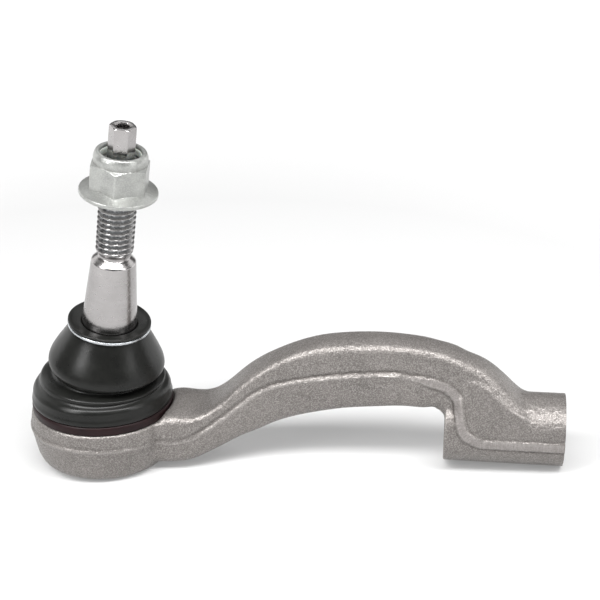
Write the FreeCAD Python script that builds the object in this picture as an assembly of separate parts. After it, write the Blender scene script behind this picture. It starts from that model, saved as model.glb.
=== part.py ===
import FreeCAD, Part
import math
import os

# Outer tie rod end of a car's steering, millimetres.
# Origin: centre of the ball.  +Z: axis of the housing bore, pointing out of the boot.
# +X: from the ball towards the threaded boss.  The arm is symmetric about Y = 0.
# The stud, the nut and the top of the boot are made at the lean they have at rest.

os.makedirs("parts", exist_ok=True)
V = FreeCAD.Vector

# ---- lean of the stud at rest -------------------------------------------------------
LEAN = 9.2                # degrees from the bore axis
LEAN_HEADING = -34.2      # compass heading of the lean about Z, 0 is +X

# ---- ball joint ---------------------------------------------------------------------
BALL_R = 11.5
BALL_FIT = 0.04           # running clearance between ball and races
RACE_R = 13.5             # outside radius of both races
CAVITY_R = 13.55
RACE_TOP = 6.4
RACE_BOTTOM = -13.0
RACE_SPLIT = 0.15         # half of the slit between the two races
SPRING_FREE_R = 6.0
CAP_R = 15.0
CAP_T = 1.7
CAP_TOP = -14.1

# ---- housing head -------------------------------------------------------------------
SHOULDER_Z = 1.5          # flat that the boot stands on
SHOULDER_R = 23.5
HEAD_R = 24.2             # at the parting line
HEAD_PART_Z = -4.0
HEAD_LOW_R = 22.4
HEAD_BOTTOM = -16.2
NECK_R = 18.5             # spigot inside the boot
NECK_TOP = 9.0
MOUTH_R = 11.0            # spigot opening above the races
POCKET_R = 23.6           # clearance cut in the arm for the boot's lower ring

# ---- threaded boss ------------------------------------------------------------------
BOSS_R = 11.75
BOSS_LEFT = 113.1
BOSS_RIGHT = 151.4
BOSS_Z = 0.8
BORE_R = 6.19             # minor radius of the M14x1.5 internal thread
BORE_CHAMFER = 1.1

# ---- stud, heights along its own axis from the ball centre ---------------------------
STUD_NECK_R = 5.5
FOOT_R = 8.85             # large end of the 1:6 taper
FOOT_H = 35.0
SEAT_H = 32.0             # start of the plain land under the boot lip
FLARE_H = 25.5
TAPER_TOP_R = 7.08
TAPER_TOP_H = 56.2
THREAD_R = 6.0            # M12x1.75
THREAD_H = 57.9
THREAD_END_H = 91.5
TIP_AF = 7.4              # holding hexagon on the end of the stud
TIP_H = 102.4
TIP_TOP_R = 3.6           # chamfer circle on the end face
TIP_SOCKET_AF = 4.0
TIP_SOCKET_DEPTH = 4.0
TIP_HEADING = 14.0         # turn of the tip hexagon about the stud axis
UNDERCUT_R = 5.0

# ---- flange lock nut ----------------------------------------------------------------
NUT_H = 79.7              # height of the flange face at rest
NUT_TOTAL = 14.4
NUT_AF = 17.0
NUT_HEADING = 38.8        # turn of the nut hexagon about the stud axis
FLANGE_R = 12.3
FLANGE_RIM = 1.3
FLANGE_RISE = 2.4
HEX_TOP = 10.8
COLLAR_R = 8.45
COLLAR_MOUTH_R = 6.5
NUT_BORE_R = 6.03
INSERT_R = 7.5
INSERT_LOW = 11.2
INSERT_T = 2.0

# ---- boot ---------------------------------------------------------------------------
BOOT_WALL = 1.5
BOOT_BASE_R = 21.1        # inside the lower ring
RING_LOW_R = 22.8         # lower ring, outside radius
RING_LOW_H = 5.2
LIP_R = 13.3
LIP_TOP = 34.3
LIP_T = 0.8
RING_UP_T = 1.1           # upper steel ring
RING_UP_R = 13.45
RING_UP_IN = 12.15
SEAL_GAP = 0.1
# height above the ball centre, radius: the two folds from the lower ring to the lip
BOOT_FOLDS = [(6.9, 21.3), (8.0, 22.1), (9.8, 22.2), (11.6, 21.0), (13.2, 18.8), (14.3, 17.2),
              (15.5, 16.8), (17.0, 18.0), (19.0, 18.8), (21.2, 18.3), (24.2, 16.7),
              (27.4, 14.9), (30.0, 13.5), (31.8, 12.6)]
LEAN_START = 8.5          # the boot takes up the stud's lean between these heights
LEAN_END = 20.0

# ---- arm: x, half width, parting height, rise above it, drop below it, squareness ----
ARM = [(9.2, 12.6, -5.8, 6.6, 8.8, 4.6), (14.3, 12.7, -5.6, 7.4, 8.9, 4.6),
       (19.9, 12.7, -5.3, 8.3, 9.1, 4.8), (25.4, 12.7, -4.6, 8.9, 9.3, 5.0),
       (31.0, 12.1, -2.6, 6.6, 10.5, 5.0), (36.5, 10.5, 0.2, 5.5, 11.2, 4.6),
       (42.0, 9.3, 3.9, 6.1, 12.0, 4.5), (47.0, 8.7, 8.1, 6.9, 13.3, 4.5),
       (52.5, 8.1, 12.4, 7.0, 15.1, 4.6), (58.0, 7.4, 14.5, 8.3, 14.3, 5.0),
       (63.4, 7.0, 16.0, 9.6, 13.7, 5.0), (71.3, 7.0, 17.5, 11.0, 12.9, 5.0),
       (81.2, 7.3, 19.4, 10.8, 12.6, 5.0), (92.0, 7.3, 20.5, 10.3, 12.5, 5.0),
       (101.7, 7.0, 19.9, 10.5, 11.4, 5.0), (107.0, 7.0, 18.2, 11.5, 9.7, 5.0),
       (112.4, 7.1, 15.6, 12.9, 7.0, 4.8), (117.7, 7.5, 10.3, 16.3, 9.1, 4.6),
       (123.0, 7.9, 4.4, 20.0, 5.8, 4.4), (127.7, 8.6, 1.8, 19.8, 3.9, 4.2),
       (131.6, 9.1, 1.2, 17.0, 3.5, 3.8), (136.4, 9.8, 1.0, 12.5, 3.5, 3.2),
       (142.1, 10.4, 0.8, 10.9, 3.5, 2.6)]
WALL_HALF = 6.9           # wall that closes the arm's end down to the boss
WALL_BACK = 8.0
WALL_TOP = 12.5
SECTION_POINTS = 40
CORNER_R = 3.5            # inside corner between the arm and the boss's end
CORNER_Z = 8.6


def tilt_axis():
    """Horizontal axis that the lean turns about; a positive turn leans the stud further."""
    a = math.radians(LEAN_HEADING)
    return V(-math.sin(a), math.cos(a), 0)


def leaned(shape, share=1.0):
    """A copy of the shape turned about the ball centre by a share of the lean."""
    out = shape.copy()
    out.rotate(V(0, 0, 0), tilt_axis(), LEAN * share)
    return out


def revolve(points):
    """Solid of revolution about Z from a closed outline of (radius, height) points."""
    wire = Part.makePolygon([V(r, 0, z) for r, z in points] + [V(points[0][0], 0, points[0][1])])
    return Part.Face(wire).revolve(V(0, 0, 0), V(0, 0, 1), 360)


def hexagon(across_flats, low, high, heading):
    """Hexagonal prism about Z with one corner on the heading."""
    r = across_flats / math.sqrt(3)
    turns = [math.radians(heading + 60 * k) for k in range(7)]
    wire = Part.makePolygon([V(r * math.cos(t), r * math.sin(t), low) for t in turns])
    return Part.Face(wire).extrude(V(0, 0, high - low))


def section(x, half_width, z_part, rise, drop, square):
    """Closed smooth section of the arm in a plane of constant X."""
    points = []
    for k in range(SECTION_POINTS):
        t = 2 * math.pi * (k + 0.5) / SECTION_POINTS
        c, s = math.cos(t), math.sin(t)
        y = half_width * math.copysign(abs(c) ** (2 / square), c)
        z = (rise if s > 0 else drop) * math.copysign(abs(s) ** (2 / square), s)
        points.append(V(x, y, z_part + z))
    curve = Part.BSplineCurve()
    curve.interpolate(Points=points, PeriodicFlag=True)
    return Part.Wire([curve.toShape()])


def head():
    """Round head with the spigot that the boot slips over, still without its bore."""
    body = revolve([(0, HEAD_BOTTOM), (19.6, HEAD_BOTTOM), (21.3, HEAD_BOTTOM + 1.2),
                    (HEAD_LOW_R, HEAD_BOTTOM + 3.6), (HEAD_R, HEAD_PART_Z),
                    (SHOULDER_R, SHOULDER_Z - 0.6), (SHOULDER_R - 0.5, SHOULDER_Z),
                    (NECK_R, SHOULDER_Z), (NECK_R, NECK_TOP - 0.8), (NECK_R - 0.8, NECK_TOP),
                    (0, NECK_TOP)])
    return body


def head_bore():
    """Everything bored out of the head, from the cap's recess up to the mouth."""
    return revolve([(0, HEAD_BOTTOM - 1), (CAP_R - 0.9, HEAD_BOTTOM - 1), (CAP_R - 0.9, -15.85),
                    (CAP_R + 0.05, -15.85), (CAP_R + 0.05, CAP_TOP + 0.05),
                    (CAVITY_R, CAP_TOP + 0.05), (CAVITY_R, 3.0), (MOUTH_R, RACE_TOP + 0.1),
                    (MOUTH_R + 1.6, NECK_TOP + 1), (0, NECK_TOP + 1)])


def forged_housing():
    arm = Part.makeLoft([section(*row) for row in ARM], True, False)
    boss = Part.makeCylinder(BOSS_R, BOSS_RIGHT - BOSS_LEFT, V(BOSS_LEFT, 0, BOSS_Z), V(1, 0, 0))
    wall = Part.makeBox(WALL_BACK, 2 * WALL_HALF, WALL_TOP - BOSS_Z,
                        V(BOSS_LEFT + 0.4, -WALL_HALF, BOSS_Z))
    width = 13.0
    corner = Part.makeBox(CORNER_R, width, CORNER_R,
                          V(BOSS_LEFT + 0.4 - CORNER_R, -width / 2, CORNER_Z - CORNER_R))
    corner = corner.cut(Part.makeCylinder(CORNER_R, width, V(
        BOSS_LEFT + 0.4 - CORNER_R, -width / 2, CORNER_Z - CORNER_R), V(0, 1, 0)))
    pocket = Part.makeCylinder(POCKET_R, 20, V(0, 0, SHOULDER_Z))
    arm = arm.cut(pocket)
    body = arm.fuse([wall, boss, corner, head()])
    bore = Part.makeCylinder(BORE_R, 60, V(BOSS_LEFT - 5, 0, BOSS_Z), V(1, 0, 0))
    flare = BORE_R + BORE_CHAMFER
    right = Part.makeCone(BORE_R, flare, BORE_CHAMFER,
                          V(BOSS_RIGHT - BORE_CHAMFER, 0, BOSS_Z), V(1, 0, 0))
    left = Part.makeCone(flare, BORE_R, BORE_CHAMFER, V(BOSS_LEFT, 0, BOSS_Z), V(1, 0, 0))
    return body.cut([bore, right, left, head_bore()]).removeSplitter()


def upper_ball_race():
    ring = revolve([(0, RACE_SPLIT), (RACE_R, RACE_SPLIT), (RACE_R, 2.95),
                    (MOUTH_R - 0.05, RACE_TOP), (0, RACE_TOP)])
    return ring.cut(Part.makeSphere(BALL_R + BALL_FIT))


def lower_ball_race():
    cup = revolve([(0, RACE_BOTTOM), (9.0, RACE_BOTTOM), (RACE_R, -9.0), (RACE_R, -RACE_SPLIT),
                   (0, -RACE_SPLIT)])
    grease_hole = Part.makeCylinder(2.5, 4, V(0, 0, RACE_BOTTOM - 1))
    return cup.cut([Part.makeSphere(BALL_R + BALL_FIT), grease_hole])


def preload_spring():
    """Disc spring between the cap and the lower race."""
    return revolve([(3.6, RACE_BOTTOM - 0.45), (SPRING_FREE_R, RACE_BOTTOM - 0.02),
                    (8.4, RACE_BOTTOM - 0.02), (11.6, RACE_BOTTOM - 0.6),
                    (11.6, CAP_TOP + 0.02), (10.9, CAP_TOP + 0.02),
                    (8.2, RACE_BOTTOM - 0.62), (SPRING_FREE_R, RACE_BOTTOM - 0.62),
                    (3.9, CAP_TOP + 0.1)])


def end_cap():
    """Steel cap under the head, held by the rolled edge of the housing."""
    low = CAP_TOP - CAP_T
    return revolve([(0, low + 0.5), (8.0, low + 0.5), (9.5, low), (CAP_R, low), (CAP_R, CAP_TOP),
                    (0, CAP_TOP)])


def cap_seal_ring():
    """Soft ring between the cap's face and the housing bore."""
    ring = Part.makeTorus(CAVITY_R - 0.62, 0.5, V(0, 0, CAP_TOP + 0.53))
    return ring


def ball_stud():
    neck_low = math.sqrt(BALL_R ** 2 - STUD_NECK_R ** 2) - 1
    shank = revolve([(0, 0), (STUD_NECK_R, neck_low), (STUD_NECK_R, FLARE_H),
                     (FOOT_R - 0.35, SEAT_H - 0.6), (FOOT_R, SEAT_H), (FOOT_R, FOOT_H),
                     (TAPER_TOP_R, TAPER_TOP_H), (UNDERCUT_R + 0.4, THREAD_H - 0.2),
                     (UNDERCUT_R, THREAD_H), (UNDERCUT_R, THREAD_H + 1.2),
                     (THREAD_R, THREAD_H + 2.2), (THREAD_R, THREAD_END_H - 1.0),
                     (THREAD_R - 1.2, THREAD_END_H), (0, THREAD_END_H)])
    tip = hexagon(TIP_AF, THREAD_END_H - 1, TIP_H, TIP_HEADING)
    tip = tip.common(Part.makeCone(TIP_TOP_R + 14, TIP_TOP_R, 14, V(0, 0, TIP_H - 14)))
    socket = hexagon(TIP_SOCKET_AF, TIP_H - TIP_SOCKET_DEPTH, TIP_H + 1, TIP_HEADING)
    body = Part.makeSphere(BALL_R).fuse([shank, tip]).cut(socket).removeSplitter()
    return leaned(body)


def flange_nut():
    flange = revolve([(NUT_BORE_R, 0), (FLANGE_R - 0.25, 0), (FLANGE_R, 0.4),
                      (FLANGE_R - 0.1, FLANGE_RIM), (9.3, FLANGE_RISE), (NUT_BORE_R, FLANGE_RISE)])
    hexa = hexagon(NUT_AF, 1.0, HEX_TOP, NUT_HEADING)
    crown = Part.makeCone(COLLAR_R + 0.1 + 1.6 * HEX_TOP, COLLAR_R + 0.1, HEX_TOP)
    hexa = hexa.common(crown)
    collar = revolve([(0, 5.0), (COLLAR_R, 5.0), (COLLAR_R, NUT_TOTAL - 1.9),
                      (COLLAR_R - 0.5, NUT_TOTAL - 0.8), (COLLAR_MOUTH_R + 0.7, NUT_TOTAL),
                      (COLLAR_MOUTH_R, NUT_TOTAL - 0.2), (0, NUT_TOTAL - 0.2)])
    bore = Part.makeCylinder(NUT_BORE_R, 40, V(0, 0, -5))
    seat = Part.makeCylinder(INSERT_R + 0.05, INSERT_T + 0.1, V(0, 0, INSERT_LOW - 0.05))
    mouth = Part.makeCylinder(COLLAR_MOUTH_R, 4, V(0, 0, INSERT_LOW + INSERT_T))
    entry = Part.makeCone(NUT_BORE_R + 0.7, NUT_BORE_R, 0.7)
    body = flange.fuse([hexa, collar]).cut([bore, seat, mouth, entry]).removeSplitter()
    body.translate(V(0, 0, NUT_H))
    return leaned(body)


def nut_locking_insert():
    """Polymer ring in the collar of the nut; it clears the thread's crests at rest."""
    ring = revolve([(NUT_BORE_R, INSERT_LOW), (INSERT_R, INSERT_LOW),
                    (INSERT_R, INSERT_LOW + INSERT_T), (NUT_BORE_R, INSERT_LOW + INSERT_T)])
    ring.translate(V(0, 0, NUT_H))
    return leaned(ring)


def lean_share(height):
    """Share of the stud's lean that the boot has taken up at this height."""
    s = (height - LEAN_START) / (LEAN_END - LEAN_START)
    s = min(max(s, 0.0), 1.0)
    return s * s * (3 - 2 * s)


def hoop(radius, height):
    """Circle of the boot, carried along with its share of the lean."""
    circle = Part.makeCircle(radius, V(0, 0, height), V(0, 0, 1))
    return leaned(Part.Wire([circle]), lean_share(height))


def dust_boot():
    outer = Part.makeLoft([hoop(r, h) for h, r in BOOT_FOLDS], True, False)
    inner = Part.makeLoft([hoop(r - BOOT_WALL, h) for h, r in BOOT_FOLDS], True, False)
    folds = outer.cut(inner)
    base_low = SHOULDER_Z + 0.02
    first_h, first_r = BOOT_FOLDS[0]
    base = revolve([(NECK_R + 0.02, base_low), (BOOT_BASE_R, base_low), (BOOT_BASE_R, first_h - 0.3),
                    (first_r, first_h), (first_r - BOOT_WALL, first_h), (NECK_R + 0.02, first_h - 0.8)])
    last_h, last_r = BOOT_FOLDS[-1]
    seal = FOOT_R + SEAL_GAP
    ring_top = LIP_TOP - LIP_T
    ring_low = ring_top - RING_UP_T
    lip = revolve([(last_r - BOOT_WALL, last_h), (last_r, last_h), (last_r + 0.1, ring_low),
                   (RING_UP_IN - 0.02, ring_low), (RING_UP_IN - 0.02, ring_top),
                   (LIP_R, ring_top), (LIP_R, LIP_TOP - 0.25), (LIP_R - 0.3, LIP_TOP),
                   (LIP_R - 0.8, LIP_TOP), (10.8, LIP_TOP - 0.9), (seal + 0.5, LIP_TOP - 0.1),
                   (seal, LIP_TOP - 0.3), (seal, SEAT_H + 0.3)])
    return folds.fuse([base, leaned(lip)]).removeSplitter()


def boot_lower_ring():
    """Dark band that clamps the boot's bottom bead round the spigot."""
    low = SHOULDER_Z + 0.05
    return revolve([(BOOT_BASE_R + 0.02, low), (RING_LOW_R - 0.3, low), (RING_LOW_R, low + 0.3),
                    (RING_LOW_R, low + RING_LOW_H - 0.5), (RING_LOW_R - 0.5, low + RING_LOW_H),
                    (BOOT_BASE_R + 0.3, low + RING_LOW_H),
                    (BOOT_BASE_R + 0.02, low + RING_LOW_H - 0.3)])


def boot_upper_ring():
    """Thin steel ring in the groove under the boot's lip."""
    top = LIP_TOP - LIP_T - 0.02
    low = top - RING_UP_T + 0.04
    return leaned(revolve([(RING_UP_IN, low), (RING_UP_R - 0.15, low), (RING_UP_R, low + 0.2),
                           (RING_UP_R, top - 0.2), (RING_UP_R - 0.15, top), (RING_UP_IN, top)]))


PIECES = {
    "forged_housing": forged_housing,
    "upper_ball_race": upper_ball_race,
    "lower_ball_race": lower_ball_race,
    "preload_spring": preload_spring,
    "end_cap": end_cap,
    "cap_seal_ring": cap_seal_ring,
    "ball_stud": ball_stud,
    "dust_boot": dust_boot,
    "boot_lower_ring": boot_lower_ring,
    "boot_upper_ring": boot_upper_ring,
    "flange_nut": flange_nut,
    "nut_locking_insert": nut_locking_insert,
}

shapes = {}
for name, make in PIECES.items():
    shape = make()
    solids = shape.Solids
    if len(solids) == 1:
        shape = solids[0]
    shapes[name] = shape
    shape.exportStep("parts/" + name + ".step")
    box = shape.BoundBox
    print(name, "solids", len(solids), "valid", shape.isValid(), "volume %.0f" % shape.Volume,
          "x %.1f..%.1f y %.1f..%.1f z %.1f..%.1f" % (
              box.XMin, box.XMax, box.YMin, box.YMax, box.ZMin, box.ZMax))

names = list(shapes)
for i, first in enumerate(names):
    for second in names[i + 1:]:
        if not shapes[first].BoundBox.intersect(shapes[second].BoundBox):
            continue
        shared = shapes[first].common(shapes[second]).Volume
        if shared > 0.001:
            print("OVERLAP", first, second, "%.3f" % shared)
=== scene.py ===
import math

import bmesh
import bpy
import numpy as np
from mathutils import Matrix, Vector


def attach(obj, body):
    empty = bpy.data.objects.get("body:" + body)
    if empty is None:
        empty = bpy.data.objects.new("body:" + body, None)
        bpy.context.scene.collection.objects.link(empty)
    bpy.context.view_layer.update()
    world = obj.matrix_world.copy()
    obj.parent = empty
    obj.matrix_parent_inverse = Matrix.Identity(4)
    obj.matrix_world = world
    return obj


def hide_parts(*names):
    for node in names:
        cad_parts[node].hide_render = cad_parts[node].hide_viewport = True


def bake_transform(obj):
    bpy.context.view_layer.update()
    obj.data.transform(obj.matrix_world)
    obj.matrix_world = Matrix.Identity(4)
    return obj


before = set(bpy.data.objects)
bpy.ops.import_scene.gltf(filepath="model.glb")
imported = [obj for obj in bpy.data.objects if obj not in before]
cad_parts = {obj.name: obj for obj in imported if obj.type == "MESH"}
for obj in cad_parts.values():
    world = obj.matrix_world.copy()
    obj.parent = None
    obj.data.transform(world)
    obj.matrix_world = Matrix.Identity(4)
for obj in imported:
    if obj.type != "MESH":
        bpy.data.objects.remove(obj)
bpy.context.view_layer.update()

MM = 0.001

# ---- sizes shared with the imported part, millimetres unless said ------------------------
LEAN = 9.2                 # degrees, lean of the stud at rest
LEAN_HEADING = -34.2       # degrees about Z
BOSS_Z = 0.8
BOSS_LEFT = 113.1
BOSS_RIGHT = 151.4
STUD_PITCH = 1.75
ROD_PITCH = 1.5
ROD_ROOT_R = 6.95          # thread of the boss's bore
ROD_CREST_R = 6.2
STUD_ROOT_R = 4.95         # thread of the stud
STUD_CREST_R = 5.98
NUT_H = 79.7               # the nut's underside, along the stud from the ball centre
NUT_HEADING = 33.4
TIP_HEADING = 6.4
BOSS_R = 11.75
HEAD_BOTTOM = -16.2
HEAD_FOOT_R = 19.6         # radius of the head's lower edge, on which the part lies
BALL_R = 11.5
NECK_R = 5.5
VOXEL = 0.46               # grid on which the forging is rebuilt

heading = math.radians(LEAN_HEADING)
along_rod = Matrix.Translation((0, 0, BOSS_Z * MM)) @ Matrix.Rotation(math.pi / 2, 4, "Y")
tilt_axis = Vector((-math.sin(heading), math.cos(heading), 0.0))


def lean_matrix(share=1.0):
    """Turn about the ball centre that leans the stud's axis by a share of its lean."""
    return Matrix.Rotation(math.radians(LEAN) * share, 4, tilt_axis)


# ======================================================================================
# turning, the way a lathe does it
# ======================================================================================

def fillet(outline, arc_steps=4):
    """Rounds the corners of an open outline of (radius, height, corner radius) points."""
    out = []
    last = len(outline) - 1
    for i, (r, z, corner) in enumerate(outline):
        here = Vector((r, z))
        if i in (0, last) or corner <= 0:
            out.append((r, z))
            continue
        back = Vector(outline[i - 1][:2]) - here
        ahead = Vector(outline[i + 1][:2]) - here
        reach = min(corner, 0.48 * back.length, 0.48 * ahead.length)
        a = here + back.normalized() * reach
        b = here + ahead.normalized() * reach
        for k in range(arc_steps + 1):
            t = k / arc_steps
            p = a * (1 - t) ** 2 + here * 2 * t * (1 - t) + b * t * t
            out.append((p.x, p.y))
    return out


def soften(points, steps):
    """Smooth curve through the points, for rubber folds."""
    out = []
    n = len(points)
    for i in range(n - 1):
        p0 = np.array(points[max(i - 1, 0)])
        p1, p2 = np.array(points[i]), np.array(points[i + 1])
        p3 = np.array(points[min(i + 2, n - 1)])
        for k in range(steps):
            t = k / steps
            out.append(tuple(0.5 * (2 * p1 + (p2 - p0) * t + (2 * p0 - 5 * p1 + 4 * p2 - p3) * t * t
                                    + (3 * p1 - p0 - 3 * p2 + p3) * t ** 3)))
    out.append(tuple(points[-1]))
    return out


def rows_between(z_low, z_high, radius, step):
    """Evenly spaced rows of one radius, for a stretch that gets a thread."""
    count = max(2, round(abs(z_high - z_low) / step))
    return [(radius, z_low + (z_high - z_low) * k / count) for k in range(count + 1)]


def turned(name, outline, around=96, ring=False, form=None, place=None, lean_of=None, turn=0.0):
    """Closed turned mesh about Z.  form(theta, r, z) may reshape a row, place moves it."""
    mesh = bpy.data.meshes.new(name)
    bm = bmesh.new()
    rows = []
    for r, z in outline:
        if r < 1e-6:
            rows.append([bm.verts.new((0, 0, z * MM))])
            continue
        row = []
        for k in range(around):
            theta = 2 * math.pi * k / around + math.radians(turn)
            rr = form(theta, r, z) if form else r
            row.append(bm.verts.new((rr * MM * math.cos(theta), rr * MM * math.sin(theta), z * MM)))
        rows.append(row)
    pairs = list(zip(rows, rows[1:]))
    if ring:
        pairs.append((rows[-1], rows[0]))
    for low, high in pairs:
        for k in range(around):
            m = (k + 1) % around
            if len(low) == 1 and len(high) == 1:
                continue
            if len(low) == 1:
                bm.faces.new((low[0], high[m], high[k]))
            elif len(high) == 1:
                bm.faces.new((low[k], low[m], high[0]))
            else:
                bm.faces.new((low[k], low[m], high[m], high[k]))
    bmesh.ops.remove_doubles(bm, verts=bm.verts, dist=1e-7)
    bmesh.ops.recalc_face_normals(bm, faces=bm.faces)
    bm.to_mesh(mesh)
    bm.free()
    keep_blank(mesh)
    if place is not None or lean_of is not None:
        settle(mesh, place, lean_of)
    piece = bpy.data.objects.new(name, mesh)
    bpy.context.collection.objects.link(piece)
    return piece


def keep_blank(mesh):
    """Remembers where each point was on the lathe, so turning marks follow the piece."""
    co = np.zeros(len(mesh.vertices) * 3, np.float32)
    mesh.vertices.foreach_get("co", co)
    note = mesh.attributes.get("blank") or mesh.attributes.new("blank", "FLOAT_VECTOR", "POINT")
    note.data.foreach_set("vector", co)


def settle(mesh, place=None, lean_of=None):
    """Puts a turned mesh where it belongs: along the axis first, then leaned."""
    if place is not None:
        mesh.transform(place)
    if lean_of is not None:
        for v in mesh.vertices:
            v.co = lean_matrix(lean_of(v.co.z / MM)) @ v.co
    mesh.update()


def finish_shape(piece, crease=35.0):
    """Smooth faces with true creases."""
    mesh = piece.data
    mesh.shade_smooth()
    mesh.set_sharp_from_angle(angle=math.radians(crease))


def hex_form(across_flats, corner_heading, corner_radius):
    """Radius of a hexagon's outline at an angle, its corners cut to a radius."""
    def radius(theta):
        a = (theta - math.radians(corner_heading)) % math.radians(60) - math.radians(30)
        return min(across_flats / 2 / math.cos(a), corner_radius)
    return radius


# ======================================================================================
# threads: one tree turns a plain turned stretch into a helical thread
# ======================================================================================

def thread_tree():
    """The tree: moves each point of a blank to the root, flank or crest that its angle calls for."""
    tree = bpy.data.node_groups.new("rolled_thread", "GeometryNodeTree")
    tree.is_modifier = True
    face = tree.interface
    face.new_socket(name="Blank", in_out="INPUT", socket_type="NodeSocketGeometry")
    for label, value in (("Root radius", 0.005), ("Crest radius", 0.006), ("Pitch", 0.00175),
                         ("Start", 0.0), ("End", 0.02), ("Run out", 0.002),
                         ("Reach low", 0.0), ("Reach high", 1.0), ("Crest flat", 0.14)):
        face.new_socket(name=label, in_out="INPUT",
                        socket_type="NodeSocketFloat").default_value = value
    face.new_socket(name="Finish", in_out="INPUT", socket_type="NodeSocketMaterial")
    face.new_socket(name="Threaded", in_out="OUTPUT", socket_type="NodeSocketGeometry")
    nodes, links = tree.nodes, tree.links
    given = nodes.new("NodeGroupInput")
    result = nodes.new("NodeGroupOutput")

    def calc(operation, a, b=None, c=None):
        node = nodes.new("ShaderNodeMath")
        node.operation = operation
        for socket, value in zip(node.inputs, (a, b, c)):
            if value is None:
                continue
            if isinstance(value, (int, float)):
                socket.default_value = value
            else:
                links.new(value, socket)
        return node.outputs[0]

    def ramp(value, low, high):
        node = nodes.new("ShaderNodeMapRange")
        node.interpolation_type = "SMOOTHSTEP"
        for label, v in (("Value", value), ("From Min", low), ("From Max", high)):
            if isinstance(v, (int, float)):
                node.inputs[label].default_value = v
            else:
                links.new(v, node.inputs[label])
        return node.outputs["Result"]

    where = nodes.new("GeometryNodeInputPosition")
    split = nodes.new("ShaderNodeSeparateXYZ")
    links.new(where.outputs[0], split.inputs[0])
    x, y, z = split.outputs
    angle = calc("ARCTAN2", y, x)
    radius = calc("SQRT", calc("ADD", calc("MULTIPLY", x, x), calc("MULTIPLY", y, y)))
    turns = calc("DIVIDE", z, given.outputs["Pitch"])
    phase = calc("FRACT", calc("ADD", calc("SUBTRACT", turns, calc("DIVIDE", angle, 2 * math.pi)), 64.0))
    flank = calc("ABSOLUTE", calc("SUBTRACT", calc("MULTIPLY", phase, 2.0), 1.0))
    span = calc("SUBTRACT", 1.0, calc("MULTIPLY", given.outputs["Crest flat"], 2.0))
    height = calc("DIVIDE", calc("SUBTRACT", flank, given.outputs["Crest flat"]), span)
    height = calc("MINIMUM", calc("MAXIMUM", height, 0.0), 1.0)
    depth = calc("SUBTRACT", given.outputs["Crest radius"], given.outputs["Root radius"])
    cut = calc("ADD", given.outputs["Root radius"], calc("MULTIPLY", depth, height))
    rise = ramp(z, given.outputs["Start"], calc("ADD", given.outputs["Start"], given.outputs["Run out"]))
    fall = ramp(z, calc("SUBTRACT", given.outputs["End"], given.outputs["Run out"]), given.outputs["End"])
    share = calc("MULTIPLY", rise, calc("SUBTRACT", 1.0, fall))
    share = calc("MULTIPLY", share, calc("GREATER_THAN", radius, given.outputs["Reach low"]))
    share = calc("MULTIPLY", share, calc("LESS_THAN", radius, given.outputs["Reach high"]))
    new_radius = calc("ADD", radius, calc("MULTIPLY", calc("SUBTRACT", cut, radius), share))
    grow = calc("DIVIDE", new_radius, calc("MAXIMUM", radius, 1e-6))
    join = nodes.new("ShaderNodeCombineXYZ")
    links.new(calc("MULTIPLY", x, grow), join.inputs[0])
    links.new(calc("MULTIPLY", y, grow), join.inputs[1])
    links.new(z, join.inputs[2])
    move = nodes.new("GeometryNodeSetPosition")
    links.new(given.outputs["Blank"], move.inputs["Geometry"])
    links.new(join.outputs[0], move.inputs["Position"])
    real = nodes.new("GeometryNodeRealizeInstances")
    links.new(move.outputs[0], real.inputs[0])
    paint = nodes.new("GeometryNodeSetMaterial")
    links.new(real.outputs[0], paint.inputs["Geometry"])
    links.new(given.outputs["Finish"], paint.inputs["Material"])
    links.new(paint.outputs[0], result.inputs["Threaded"])
    return tree


def cut_thread(piece, tree, finish, **sizes):
    """Runs the thread tree on a turned blank and keeps the result as a plain mesh."""
    modifier = piece.modifiers.new("thread", "NODES")
    modifier.node_group = tree
    idents = {s.name: s.identifier for s in tree.interface.items_tree if s.in_out == "INPUT"}
    for label, value in sizes.items():
        modifier[idents[label.replace("_", " ")]] = value * MM if label != "Crest_flat" else value
    modifier[idents["Finish"]] = finish
    plain(piece)


def plain(piece):
    """Bakes a piece's modifiers into its mesh."""
    bpy.context.view_layer.update()
    shown = piece.evaluated_get(bpy.context.evaluated_depsgraph_get())
    mesh = bpy.data.meshes.new_from_object(shown, preserve_all_data_layers=True,
                                           depsgraph=bpy.context.evaluated_depsgraph_get())
    piece.modifiers.clear()
    old = piece.data
    piece.data = mesh
    mesh.name = piece.name
    if old.users == 0:
        bpy.data.meshes.remove(old)


# ======================================================================================
# materials
# ======================================================================================

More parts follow.
